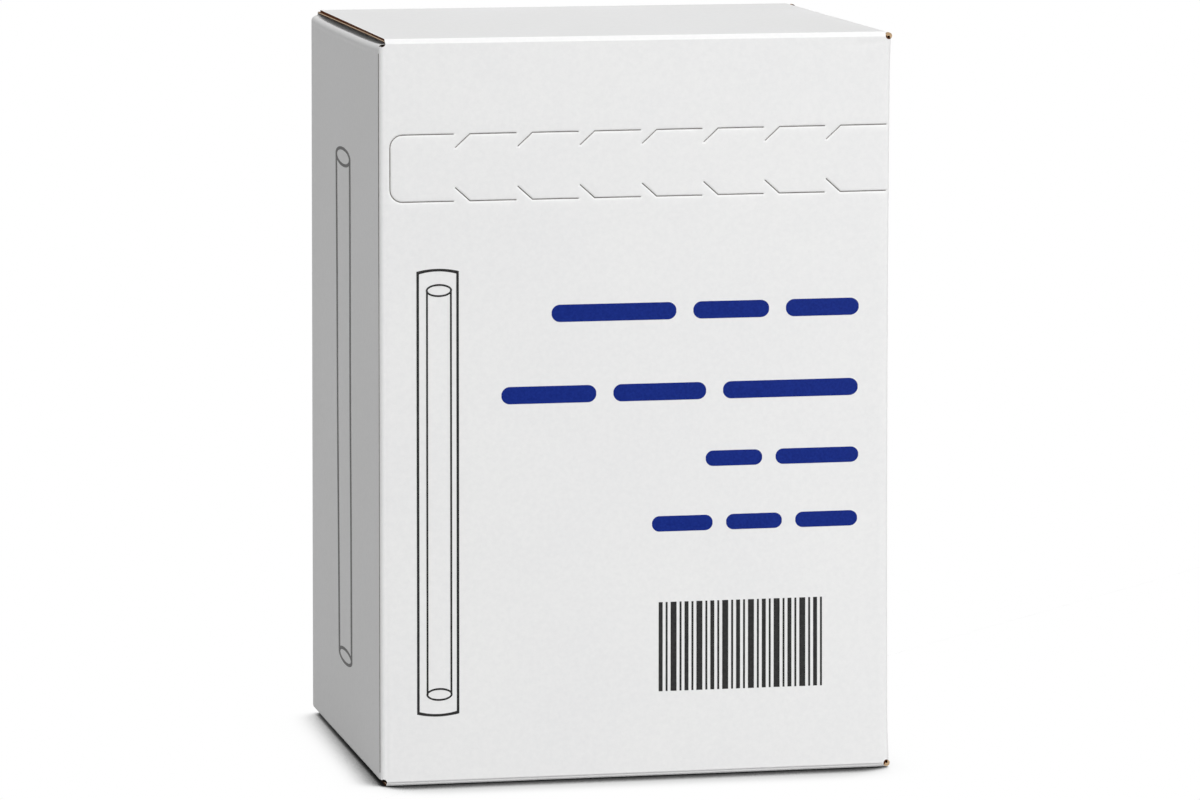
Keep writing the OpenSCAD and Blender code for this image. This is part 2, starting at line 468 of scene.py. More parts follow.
def cutting_planes():
    """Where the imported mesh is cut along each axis, so that it can follow the small shapes."""
    # Insets from a panel's side, close together where the creases run
    near_fold = [BOARD, PANEL_FOLD_R, 1.4, 1.7, CREASE_AT, 2.35, RIDGE_AT, 3.5, 4.5, 6.2, 9]
    in_fold = [before_soft(turn) for turn in SCORE_TURNS]
    sides = [HALF_W - inset for inset in near_fold] + list(np.arange(0, HALF_W - 11, GRID))
    fronts = [HALF_D - inset for inset in near_fold + in_fold] + list(np.arange(0, HALF_D - 11, GRID))
    # Distances from the carton's end, close together at the flaps and the creases under them
    near_end = [BOARD, *LIT_EDGE_BAND, 2 * BOARD, FLAP_FOLD_R, 1.9, 2.4, 3.0, 3.4, 3.8, 4.2, 4.6, 5.2, 7.0]
    levels = near_end + [HEIGHT - inset for inset in near_end]
    levels += list(np.arange(10, STRIP_Z - STRIP_BAND_HALF - 1, GRID))
    levels += list(np.arange(STRIP_Z + STRIP_BAND_HALF + 3, HEIGHT - 9, GRID))
    levels += [STRIP_Z - STRIP_BAND_HALF, STRIP_Z + STRIP_BAND_HALF]
    for line in (STRIP_Z - STRIP_HALF, STRIP_Z + STRIP_HALF):
        levels += [line] + [line + side * at for side in (1, -1) for at, _ in CUT_SECTION[1:]]
        levels += [line - 2.6, line + 2.6]
    levels += [STRIP_Z - 3.8, STRIP_Z, STRIP_Z + 3.8]
    return [
        [side * x for x in sides for side in (1, -1)],
        [side * y for y in fronts for side in (1, -1)],
        levels,
    ]


# A point this near the border of a panel's flat part is on it, and outlines stay this far inside it
BORDER_SLACK = 0.03
BORDER_CLEAR = 0.12


def ring_round(line, reach, low_u, high_u):
    """Outline at a distance round a cut, kept on the panel, and whether it is closed.

    It is open where the cut runs out over the panel's border.
    """
    points = np.array(line)
    steps = np.diff(points, axis=0)
    steps /= np.linalg.norm(steps, axis=1)[:, None]
    before = np.vstack([steps[:1], steps])
    after = np.vstack([steps, steps[-1:]])
    middle = before + after
    middle /= np.linalg.norm(middle, axis=1)[:, None]
    side = np.column_stack([-middle[:, 1], middle[:, 0]])
    mitre = reach / np.sum(side * np.column_stack([-after[:, 1], after[:, 0]]), axis=1)
    left = points + side * mitre[:, None]
    right = points - side * mitre[:, None]
    ring = list(right[::-1]) + [points[0] - steps[0] * reach] + list(left)
    at_border = high_u - BORDER_SLACK
    runs_out = points[-1, 0] > at_border
    if not runs_out:
        ring.append(points[-1] + steps[-1] * reach)
    least, most = low_u + BORDER_CLEAR, high_u - BORDER_CLEAR
    kept = [(high_u if u > at_border else min(max(u, least), most), v) for u, v in ring]
    return kept, not runs_out


def onto(value, places):
    """The value, or the place that it is next to."""
    for place in places:
        if abs(value - place) < BORDER_SLACK:
            return place
    return value


# Points of a cut's lines lie no further apart than this
LINE_SPACING = 4.0


def divided(line, closed):
    """The line's points with more between them where they lie far apart."""
    ends = line[1:] + line[:1] if closed else line[1:]
    points = []
    for start, stop in zip(line, ends):
        count = max(1, math.ceil(math.dist(start, stop) / LINE_SPACING))
        for i in range(count):
            points.append(tuple(a + i / count * (b - a) for a, b in zip(start, stop)))
    return points if closed else points + [line[-1]]


def add_line(points, edges, line, closed=False):
    """Adds a line's points, with an edge from each to the next."""
    first = len(points)
    edges += [(first + i, first + i + 1) for i in range(len(line) - 1)]
    if closed:
        edges.append((first + len(line) - 1, first))
    points += line


def remesh_band(bm, name, low_u, high_u):
    """Meshes the tear strip's band of one panel again, with edges along its cuts."""
    panel = PANELS[name]
    low_v, high_v = STRIP_Z - STRIP_BAND_HALF, STRIP_Z + STRIP_BAND_HALF
    faces = [f for f in bm.faces]
    centres = np.array([f.calc_center_median()[:] for f in faces])
    u, v, depth = panel.coordinates(centres)
    facing = np.array([f.normal[:] for f in faces]) @ panel.outward
    inside = (u > low_u - 0.01) & (u < high_u + 0.01) & (v > low_v) & (v < high_v)
    inside &= ((facing > 0.9999) & (depth < ON_PLANE)) | ((depth > ON_PLANE) & (depth < BOARD + ON_PLANE))
    doomed = [f for f, gone in zip(faces, inside) if gone]
    bmesh.ops.delete(bm, geom=doomed, context="FACES")
    bm.verts.index_update()
    border = [e for e in bm.edges if len(e.link_faces) == 1]
    old_verts = sorted({v for e in border for v in e.verts}, key=lambda v: v.index)
    index = {v: i for i, v in enumerate(old_verts)}
    flat = panel.coordinates(np.array([v.co[:] for v in old_verts]))
    points = [(onto(u, (low_u, high_u)), onto(v, (low_v, high_v))) for u, v in zip(flat[0], flat[1])]
    border_v = [v for u, v in points if u == high_u]
    edges = [tuple(index[v] for v in e.verts) for e in border]
    columns = sorted({p[0] for p in points if p[1] == low_v})
    rows = sorted({p[1] for p in points if p[0] == low_u})
    grid = np.array([(x, y) for x in columns[1:-1] for y in rows[1:-1]])
    free = distance_to_lines(grid, CUTS[name]) > CUT_SECTION[-1][0] + 0.25
    points += [tuple(p) for p in grid[free]]
    for line in CUTS[name]:
        line = [(onto(u, (high_u,)), v) for u, v in line]
        line = [(u, onto(v, border_v) if u == high_u else v) for u, v in line]
        add_line(points, edges, divided(line, closed=False))
        for reach, _ in CUT_SECTION[1:]:
            outline, closed = ring_round(line, reach, low_u, high_u)
            outline = [(u, onto(v, border_v) if u == high_u else v) for u, v in outline]
            add_line(points, edges, divided(outline, closed), closed)
    result = delaunay_2d_cdt([Vector(p) for p in points], edges, [], 1, 2e-3, True)
    new_points, _, new_faces, came_from = result[:4]
    made = []
    for point, sources in zip(new_points, came_from):
        kept = [s for s in sources if s < len(old_verts)]
        made.append(old_verts[kept[0]] if kept else bm.verts.new(panel.place(point[0], point[1])))
    for corners in new_faces:
        face = bm.faces.new([made[i] for i in corners])
        middle = np.mean([new_points[i] for i in corners], axis=0)
        way = way_from_lines(middle[None, :], CUTS[name])[0]
        if np.linalg.norm(way) < CUT_HALF:
            face.material_index = CUT
        # The lower lip beside a cut gets the brighter coat, a painted highlight.
        elif np.linalg.norm(way) < CUT_SECTION[2][0] and way[1] < -0.05:
            face.material_index = PAINTED_HIGHLIGHT


# Distances from the carton's end to both sides of a band of the inner flap's edge painted pale as a
# highlight; under it the edge is painted dark brown as the crevice's shade
LIT_EDGE_BAND = (0.6, 0.84)
# A face turned this squarely to an axis faces along it
FACES = 0.9
# How near a face lies to the level, the raw edge or the round of the hole that it is on
ON_LEVEL = 0.01
ON_EDGE = 0.05
ON_HOLE = 0.02


def in_score(centre, normal):
    """Whether a face is in the left fold's score line, which gets the cut core's grey: partly the core
    where the coating cracks, and partly painted shade of the line's groove.
    """
    at, half = LEFT_SCORE[:2]
    inset = HALF_D + centre.y
    in_line = before_soft(at - half) - ON_LEVEL < inset < before_soft(at + half) + ON_LEVEL
    from_end = min(centre.z, HEIGHT - centre.z)
    outside = centre.x < PANEL_FOLD_R - HALF_W and normal.x < -0.2
    return in_line and outside and from_end > sum(SCORE_FADE) / 2


def on_flat_fold(centre, normal):
    """Whether a face is on the top front fold where it is pressed flat."""
    turn = math.degrees(math.atan2(normal.z, -normal.y))
    on_fold = centre.y < FLAP_FOLD_R - HALF_D and centre.z > HEIGHT - FLAP_FOLD_R
    return on_fold and abs(turn - 45) < FLAT_HALF and abs(normal.x) < 0.1


def in_relief(deep, beside, end):
    """Whether a face is in a relief hole, from its depths under the hole's panel and the next."""
    in_round = math.hypot(beside - RELIEF_R, end - RELIEF_DROP) < RELIEF_R + ON_HOLE
    return in_round and 0.001 < deep < RELIEF_DEPTH + ON_LEVEL and beside < 2 * RELIEF_R + ON_LEVEL


def kind_of_face(centre, normal):
    """Which surface of the board a face of the flat construction is."""
    x, y, z = abs(centre.x), centre.y, centre.z
    end = min(z, HEIGHT - z)
    # Between the places of the flaps' side edges, which lie at different insets
    flap_side = HALF_W - OUTER_FLAP_FREE_INSET - 0.4 < x < HALF_W - OUTER_FLAP_INSET + 0.4
    near_end = end < 2 * BOARD + TOP_CREVICE_H + FLAP_FOLD_R
    if abs(normal.x) > FACES and flap_side and near_end:
        # A band of the inner flap's edge is painted pale as a highlight, and the part under it dark brown
        # as the crevice's shade.
        painted_lit_edge = LIT_EDGE_BAND[0] < end < LIT_EDGE_BAND[1] and y > -HALF_D + BOARD
        return PALE if painted_lit_edge else RAW_EDGE
    if abs(normal.z) > FACES and flap_side and abs(end - BOARD) < ON_LEVEL:
        return RAW_EDGE
    # The score line is painted the cut core's grey, partly as painted shade of its groove.
    if in_score(centre, normal):
        return CUT
    # The flat top front fold gets the brighter coat, a painted highlight.
    if on_flat_fold(centre, normal):
        return PAINTED_HIGHLIGHT
    if normal.y > FACES and end < BOARD and abs(y - (HALF_D - OUTER_FLAP_SHORT)) < ON_EDGE:
        return RAW_EDGE
    at_seam = abs(y - (HALF_D - SEAM_SHORT)) < ON_EDGE and centre.x < -HALF_W + BOARD + ON_EDGE
    if normal.y > FACES and at_seam:
        return RAW_EDGE
    deep_x, deep_y = HALF_W - x, HALF_D - abs(y)
    # Walls and floors of a relief hole deeper than the board are painted near-black, as painted shade.
    for deep, beside, along in ((deep_y, deep_x, normal.y), (deep_x, deep_y, normal.x)):
        if in_relief(deep, beside, end):
            if abs(along) < 0.5:
                return RAW_EDGE if deep < BOARD else PAINTED_SHADE
            return PAINTED_SHADE if deep > BOARD else COAT
    # The flaps' undersides in the crevices are painted near-black, as painted shade.
    inner_face = abs(normal.z) > FACES and abs(end - 2 * BOARD) < ON_LEVEL
    if inner_face and x > HALF_W - CREVICE_REACH:
        return PAINTED_SHADE
    return COAT


def carton_mesh():
    """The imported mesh, cut finer and given the board's small shapes."""
    bm = bmesh.new()
    bm.from_mesh(frame["nodes"]["carton"].data)
    bmesh.ops.scale(bm, vec=(1 / MM, 1 / MM, 1 / MM), verts=bm.verts)
    bmesh.ops.remove_doubles(bm, verts=bm.verts, dist=1e-3)
    bmesh.ops.dissolve_limit(bm, angle_limit=1e-3, verts=bm.verts, edges=bm.edges)
    for axis, places in enumerate(cutting_planes()):
        for at in places:
            bisect(bm, axis, at)
    bm.verts.index_update()
    bm.normal_update()
    for face in bm.faces:
        face.material_index = kind_of_face(face.calc_center_median(), face.normal)
    remesh_band(bm, "front", -FRONT_RUN, FRONT_RUN)
    remesh_band(bm, "right", -SIDE_RUN, SIDE_RUN)
    remesh_band(bm, "back", -FRONT_RUN, FRONT_RUN - BOARD)
    points = deform(np.array([v.co[:] for v in bm.verts]))
    for vert, point in zip(bm.verts, points):
        vert.co = point * MM
    return bm


# Edges with more degrees between their faces than this are shaded sharp
SHARP_ANGLE = 32


def new_object(name, data):
    """An object in the scene."""
    piece = bpy.data.objects.new(name, data)
    bpy.context.scene.collection.objects.link(piece)
    return piece


def finish_mesh(bm, name, materials):
    """An object with the mesh and its materials."""
    bm.normal_update()
    mesh = bpy.data.meshes.new(name)
    bm.to_mesh(mesh)
    bm.free()
    for material in materials:
        mesh.materials.append(material)
    mesh.shade_smooth()
    mesh.set_sharp_from_angle(angle=math.radians(SHARP_ANGLE))
    return new_object(name, mesh)


# Raw board seen in a relief hole of the right side: radius of its ring and of the middle, painted dark as
# shade, how far that lies off the centre towards the carton's middle height, and how deep under the face
# each lies
RING_R = 1.0
MIDDLE_R = 0.36
MIDDLE_OFF = 0.3
RING_DEPTH = 0.42
MIDDLE_DEPTH = 1.3
BACKING_END = 1.8
# The ring is painted pale, as a highlight, from the panel's side and the carton's end round to this place,
# as a sum of two shares, and keeps the raw edge's dark brown round the rest
PALE_FROM = -0.35
# Surfaces of the backing, in the order of its materials
BACK_EDGE, BACK_PAINTED_LIT, BACK_PAINTED_SHADE = range(3)


def relief_backing():
    """Raw board behind the relief holes: a ring, painted pale on one side as a highlight, round a middle
    painted dark as shade.
    """
    bm = bmesh.new()
    turn = np.radians(np.arange(0, 360, 20))
    rows = [(RING_R, 0, BACKING_END), (RING_R, 0, RING_DEPTH), (MIDDLE_R, MIDDLE_OFF, RING_DEPTH),
            (MIDDLE_R, MIDDLE_OFF, MIDDLE_DEPTH)]
    for way in (-1, 1):
        for z, up in ((RELIEF_DROP, 1), (HEIGHT - RELIEF_DROP, -1)):
            rings = []
            for radius, off, depth in rows:
                x = HALF_W - RELIEF_R + radius * np.cos(turn)
                y = np.full(len(turn), way * (HALF_D - depth))
                points = settle(np.column_stack([x, y, z + up * off + radius * np.sin(turn)]))
                rings.append([bm.verts.new(p * MM) for p in points])
            for k, (near, far) in enumerate(zip(rings[:-1], rings[1:])):
                for i in range(len(turn)):
                    j = (i + 1) % len(turn)
                    face = bm.faces.new([near[i], near[j], far[j], far[i]])
                    # One side of the ring is painted pale as a highlight, and the middle dark as shade.
                    pale = math.cos(turn[i]) - up * math.sin(turn[i]) > PALE_FROM
                    outer = BACK_PAINTED_LIT if pale else BACK_EDGE
                    face.material_index = BACK_PAINTED_SHADE if k == len(rows) - 2 else outer
            bm.faces.new(rings[0])
            bm.faces.new(rings[-1][::-1]).material_index = BACK_PAINTED_SHADE
    bmesh.ops.recalc_face_normals(bm, faces=bm.faces)
    return bm


# Materials

class Nodes:
    """A node material with short calls for the nodes that the materials here share."""

    def __init__(self, name):
        self.material = bpy.data.materials.new(name)
        self.material.use_nodes = True
        self.tree = self.material.node_tree
        self.tree.nodes.clear()
        self.shader = self.add("ShaderNodeBsdfPrincipled")
        self.output = self.add("ShaderNodeOutputMaterial")
        self.link(self.shader, "BSDF", self.output, "Surface")
        self.place = self.add("ShaderNodeTexCoord")

    def add(self, kind, **values):
        node = self.tree.nodes.new(kind)
        for key, value in values.items():
            setattr(node, key, value)
        return node

    def link(self, source, output, target, name):
        self.tree.links.new(source.outputs[output], target.inputs[name])

    def noise(self, scale, detail=3.0, roughness=0.55, stretch=None):
        noise = self.add("ShaderNodeTexNoise")
        noise.inputs["Scale"].default_value = scale
        noise.inputs["Detail"].default_value = detail
        noise.inputs["Roughness"].default_value = roughness
        if stretch:
            mapping = self.add("ShaderNodeMapping")
            mapping.inputs["Scale"].default_value = stretch
            self.link(self.place, "Object", mapping, "Vector")
            self.link(mapping, "Vector", noise, "Vector")
        else:
            self.link(self.place, "Object", noise, "Vector")
        return noise

    def ramp(self, source, output, stops):
        ramp = self.add("ShaderNodeValToRGB")
        elements = ramp.color_ramp.elements
        while len(elements) < len(stops):
            elements.new(0.5)
        for element, (at, colour) in zip(elements, stops):
            element.position = at
            element.color = (*colour, 1)
        self.link(source, output, ramp, "Fac")
        return ramp

    def spread(self, source, output, least, most):
        """A value that runs from least to most."""
        spread = self.add("ShaderNodeMapRange")
        spread.inputs["From Min"].default_value = 0.3
        spread.inputs["From Max"].default_value = 0.7
        spread.inputs["To Min"].default_value = least
        spread.inputs["To Max"].default_value = most
        self.link(source, output, spread, "Value")
        return spread

    def bump(self, source, output, height, previous=None, strength=1.0):
        bump = self.add("ShaderNodeBump")
        bump.inputs["Strength"].default_value = strength
        bump.inputs["Distance"].default_value = height * MM
        self.link(source, output, bump, "Height")
        if previous:
            self.link(previous, "Normal", bump, "Normal")
        return bump

    def finish(self, rough, bump, shine):
        """The material, with its roughness, its bumps and its shine set."""
        self.link(rough, "Result", self.shader, "Roughness")
        self.link(bump, "Normal", self.shader, "Normal")
        self.shader.inputs["Specular IOR Level"].default_value = shine
        return self.material


def coated_board(name, painted_lift=0.0):
    """White clay-coated face: fine grain, faint mottle and satin gloss, and a lift that makes its colour
    brighter as a painted highlight.
    """
    nodes = Nodes(name)
    mottle = nodes.noise(750, detail=3, roughness=0.6)
    cloud = nodes.noise(28, detail=2, roughness=0.5)
    dull = (0.800 + painted_lift, 0.801 + painted_lift, 0.802 + painted_lift)
    bright = (0.832 + painted_lift, 0.832 + painted_lift, 0.830 + painted_lift)
    fine = nodes.ramp(mottle, "Fac", [(0.3, dull), (0.7, bright)])
    broad = nodes.ramp(cloud, "Fac", [(0.3, (0.985, 0.985, 0.988)), (0.7, (1.0, 1.0, 0.998))])
    mix = nodes.add("ShaderNodeMix", data_type="RGBA", blend_type="MULTIPLY")
    mix.inputs["Factor"].default_value = 1.0
    nodes.tree.links.new(fine.outputs["Color"], mix.inputs["A"])
    nodes.tree.links.new(broad.outputs["Color"], mix.inputs["B"])
    nodes.tree.links.new(mix.outputs["Result"], nodes.shader.inputs["Base Color"])
    gloss = nodes.spread(cloud, "Fac", 0.58, 0.68)
    formation = nodes.noise(160, detail=2)
    grain = nodes.noise(1400, detail=2)
    soft = nodes.bump(formation, "Fac", 0.03, strength=0.5)
    crisp = nodes.bump(grain, "Fac", 0.006, previous=soft, strength=0.5)
    return nodes.finish(gloss, crisp, 0.04)


def raw_board(name, dark, light, stretch):
    """Cut edge of recycled board: thin plies with fibres between."""
    nodes = Nodes(name)
    plies = nodes.noise(1, detail=3, roughness=0.6, stretch=stretch)
    colour = nodes.ramp(plies, "Fac", [(0.32, dark), (0.68, light)])
    nodes.link(colour, "Color", nodes.shader, "Base Color")
    rough = nodes.spread(plies, "Fac", 0.78, 0.92)
    bump = nodes.bump(plies, "Fac", 0.04, strength=0.7)
    return nodes.finish(rough, bump, 0.02)


def ink(name, thin, full):
    """Printing ink over the board's grain."""
    nodes = Nodes(name)
    cover = nodes.noise(1500, detail=2)
    colour = nodes.ramp(cover, "Fac", [(0.3, full), (0.75, thin)])
    nodes.link(colour, "Color", nodes.shader, "Base Color")
    gloss = nodes.spread(cover, "Fac", 0.38, 0.5)
    bump = nodes.bump(cover, "Fac", 0.006, strength=0.5)
    return nodes.finish(gloss, bump, 0.12)


# Ink: thin solids that lie in the skin of a panel and follow its small shapes

INK_PROUD = 0.04
INK_SUNK = 0.03
# Rings lie over the strokes that they cross
RING_PROUD = INK_PROUD + 0.006
ELLIPSE_POINTS = 72


def on_panel(name, u, v, out):
    """Points on a panel's finished skin, raised by out."""
    u, v = np.asarray(u, float), np.asarray(v, float)
    return settle(PANELS[name].place(u, v, relief(name, u, v) + out))


def ink_band(bm, name, one_side, other_side, closed, proud=INK_PROUD):
    """A band of ink between two lines with as many points each."""
    rows = []
    corners = ((one_side, proud), (other_side, proud), (other_side, -INK_SUNK), (one_side, -INK_SUNK))
    for line, out in corners:
        line = np.array(line)
        points = on_panel(name, line[:, 0], line[:, 1], out)
        rows.append([bm.verts.new(p * MM) for p in points])
    count = len(rows[0])
    for i in range(count if closed else count - 1):
        j = (i + 1) % count
        for k in range(4):
            m = (k + 1) % 4
            bm.faces.new([rows[k][i], rows[k][j], rows[m][j], rows[m][i]])
    if not closed:
        bm.faces.new([row[0] for row in rows])
        bm.faces.new([row[-1] for row in reversed(rows)])


def ellipse(centre, half_u, half_v):
    angle = np.linspace(0, 2 * math.pi, ELLIPSE_POINTS, endpoint=False)
    return np.column_stack([centre[0] + half_u * np.cos(angle), centre[1] + half_v * np.sin(angle)])


def straight(start, stop):
    """Points from start to stop, as close as the panels' mesh."""
    count = max(2, math.ceil(math.dist(start, stop) / GRID) + 1)
    return np.column_stack([np.linspace(start[0], stop[0], count), np.linspace(start[1], stop[1], count)])


def upright_stroke(bm, name, u_low, u_high, v_low, v_high, half):
    """A stroke from a lower to an upper place, with level ends."""
    line = straight((u_low, v_low), (u_high, v_high))
    ink_band(bm, name, line + (half, 0), line - (half, 0), closed=False)


def ring(bm, name, centre, half_u, half_v, stroke_u, stroke_v):
    """An ellipse drawn with a stroke of two widths."""
    outer = ellipse(centre, half_u, half_v)
    inner = ellipse(centre, half_u - stroke_u, half_v - stroke_v)
    ink_band(bm, name, outer, inner, closed=True, proud=RING_PROUD)


# The wrapped straw drawn on the front: the wrapper's outer edges, how far its ends bow out, and the tube's
# strokes, from their middles
WRAPPER_LEFT = -65.3
WRAPPER_RIGHT = -52.8
WRAPPER_TOP = 151.45
WRAPPER_BASE = 21.15
WRAPPER_ARCH = 0.75
WRAPPER_STROKE = 0.75
WRAPPER_STEPS = 28
TUBE_LEFT = -62.2
TUBE_RIGHT = -55.15
TUBE_STROKE = 0.56
TUBE_TOP = 145.85
TUBE_BASE = 26.95
TUBE_MIDDLE = (TUBE_LEFT + TUBE_RIGHT) / 2
TUBE_RING_U = 3.87
TUBE_RING_V = 1.9


def wrapper_outline(inset):
    """The wrapper's outline on the front, bowed out at both ends, inset from its outer edge."""
    left, right = WRAPPER_LEFT + inset, WRAPPER_RIGHT - inset
    base, top = WRAPPER_BASE + inset, WRAPPER_TOP - inset
    share = np.linspace(-1, 1, 13)
    middle, half = (left + right) / 2, (right - left) / 2
    end_u = middle + half * share
    end_arch = WRAPPER_ARCH * (1 - share ** 2)
    side_v = np.linspace(base, top, WRAPPER_STEPS)[1:-1]
    return np.vstack([
        np.column_stack([end_u, base - end_arch]),
        np.column_stack([np.full(len(side_v), right), side_v]),
        np.column_stack([end_u[::-1], top + end_arch]),
        np.column_stack([np.full(len(side_v), left), side_v[::-1]]),
    ])


def wrapped_straw(name):
    """Line drawing of a straw in its wrapper."""
    bm = bmesh.new()
    ink_band(bm, name, wrapper_outline(0), wrapper_outline(WRAPPER_STROKE), closed=True)
    for u in (TUBE_LEFT, TUBE_RIGHT):
        upright_stroke(bm, name, u, u, TUBE_BASE, TUBE_TOP, TUBE_STROKE / 2)
    for v in (TUBE_BASE, TUBE_TOP):
        ring(bm, name, (TUBE_MIDDLE, v), TUBE_RING_U, TUBE_RING_V, TUBE_STROKE, TUBE_STROKE)
    return bm


# Ends of the drawing on the left panel: middle, height, half width and half height, to the strokes'
# middles, with the widths of the strokes across and up
SIDE_TUBE_TOP = (1.1, 179.3, 12.15, 2.47)
SIDE_TUBE_BASE = (-1.4, 28.45, 11.0, 2.05)
SIDE_STROKE_U = 2.65
SIDE_STROKE_V = 0.92


def large_tube(name, way):
    """Line drawing of a straw end to end. On the left panel u runs forward, so way is -1 there."""
    bm = bmesh.new()
    top_u, top_v, top_half, _ = SIDE_TUBE_TOP
    base_u, base_v, base_half, _ = SIDE_TUBE_BASE
    for side in (-1, 1):
        low_u = way * base_u + side * base_half
        high_u = way * top_u + side * top_half
        upright_stroke(bm, name, low_u, high_u, base_v, top_v, SIDE_STROKE_U / 2)
    for u, v, half_u, half_v in (SIDE_TUBE_TOP, SIDE_TUBE_BASE):
        outer_u, outer_v = half_u + SIDE_STROKE_U / 2, half_v + SIDE_STROKE_V / 2
        ring(bm, name, (way * u, v), outer_u, outer_v, SIDE_STROKE_U, SIDE_STROKE_V)
    return bm


# Rows of plain bars where the front has its wording: top, base and the bars' left and right ends
LABEL_ROWS = [
    (140.9, 135.8, [(-25.4, 12), (17, 40), (45, 67.1)]),
    (117.1, 112.0, [(-40.3, -12), (-7, 21), (26, 66.9)]),
    (96.7, 92.1, [(20.8, 38), (42, 67.1)]),
    (77.7, 73.1, [(4.6, 23), (27, 44), (48, 66.8)]),
]


def round_bar(bm, name, left, right, base, top):
    """A level bar with round ends."""
    half = (top - base) / 2
    middle = (top + base) / 2
    turn = np.radians(np.linspace(12, 90, 8))
    ends = half * (1 - np.cos(turn))
    between = straight((left + half, 0), (right - half, 0))[1:-1, 0]
    columns = np.concatenate([left + ends, between, right - ends[::-1]])
    reach = np.concatenate([half * np.sin(turn), np.full(len(between), half), half * np.sin(turn[::-1])])
    upper = np.column_stack([columns, middle + reach])
    lower = np.column_stack([columns, middle - reach])
    ink_band(bm, name, upper, lower, closed=False)


def label_bars(name):
    """Rows of plain bars with round ends."""
    bm = bmesh.new()
    for top, base, bars in LABEL_ROWS:
        for left, right in bars:
            round_bar(bm, name, left, right, base, top)
    return bm


# A block of upright bars in an even rhythm, which stands for no number
CODE_LEFT = 6.7
CODE_RIGHT = 56.7
CODE_BASE = 25.5
CODE_TOP = 52.1
CODE_RHYTHM = [(1.2, 0.9), (0.6, 0.9), (1.8, 0.9), (0.6, 0.9)]


def code_block(name):
    """A block of upright bars with no meaning."""
    bm = bmesh.new()
    at = CODE_LEFT
    step = 0
    while at < CODE_RIGHT:
        bar, gap = CODE_RHYTHM[step % len(CODE_RHYTHM)]
        upright_stroke(bm, name, at + bar / 2, at + bar / 2, CODE_BASE, CODE_TOP, bar / 2)
        at += bar + gap
        step += 1
    return bm


def print_piece(bm, name, material):
    """A piece of ink on the carton."""
    bmesh.ops.recalc_face_normals(bm, faces=bm.faces)
    piece = finish_mesh(bm, name, [material])
    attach(piece, "root")


# Stage

# Contact shadows: the way from which each is overlooked, its reach, and stops of the share of open
# space there with the white that it leaves. The front has a close one and a wide one.
SHADOWS = [
    ((0.1, 0.8, 0.6), 13.0, [
        (0.25, 0.0), (0.35, 0.141), (0.45, 0.186), (0.55, 0.969), (0.65, 0.985), (0.75, 0.993), (0.95, 1.0),
    ]),
    ((0.1, 0.8, 0.6), 25.0, [(0.3, 0.675), (0.45, 0.7), (0.6, 0.934), (0.75, 0.995), (0.9, 1.0)]),
    ((0.8, 0.1, 0.6), 12.0, [
        (0.2, 0.14), (0.25, 0.2), (0.3, 0.34), (0.338, 0.47), (0.362, 0.56), (0.396, 0.65), (0.427, 0.72),
        (0.474, 0.81), (0.54, 0.905), (0.626, 0.965), (0.75, 1.0),
    ]),
]
SHADOW_SAMPLES = 16
FLOOR_HALF = 40000.0
FLOOR_LIGHT = 0.36


def contact_shadow(nodes, overlook, reach, stops):
    """White that is darker beside what stands on the floor."""
    near = nodes.add("ShaderNodeAmbientOcclusion", samples=SHADOW_SAMPLES)
    near.inputs["Distance"].default_value = reach * MM
    away = nodes.add("ShaderNodeCombineXYZ")
    for axis, share in zip("XYZ", overlook):
        away.inputs[axis].default_value = share / math.hypot(*overlook)
    nodes.link(away, "Vector", near, "Normal")
    return nodes.ramp(near, "AO", [(at, (value, value, value)) for at, value in stops])


# Strength of the left side's shadow at the front of the carton and at its back, as powers of its value
FADE_FRONT = 1.6
FADE_BACK = 0.43


def fading(nodes, shadow):
    """A shadow that grows weaker from the front of the carton to its back."""
    place = nodes.add("ShaderNodeSeparateXYZ")
    nodes.link(nodes.place, "Object", place, "Vector")
    strength = nodes.add("ShaderNodeMapRange")
    strength.inputs["From Min"].default_value = -HALF_D * MM
    strength.inputs["From Max"].default_value = HALF_D * MM
    strength.inputs["To Min"].default_value = FADE_FRONT
    strength.inputs["To Max"].default_value = FADE_BACK
    nodes.link(place, "Y", strength, "Value")
    power = nodes.add("ShaderNodeMath", operation="POWER")
    nodes.link(shadow, "Color", power, 0)
    nodes.link(strength, "Result", power, 1)
    return power


def seen_directly(tree):
    """1 for camera, glossy and transmission rays, and 0 for the rays that carry light."""
    path = tree.nodes.new("ShaderNodeLightPath")
    value = path.outputs["Is Camera Ray"]
    for ray in ("Is Glossy Ray", "Is Transmission Ray"):
        either = tree.nodes.new("ShaderNodeMath")
        either.operation = "MAXIMUM"
        tree.links.new(value, either.inputs[0])
        tree.links.new(path.outputs[ray], either.inputs[1])
        value = either.outputs["Value"]
    return value


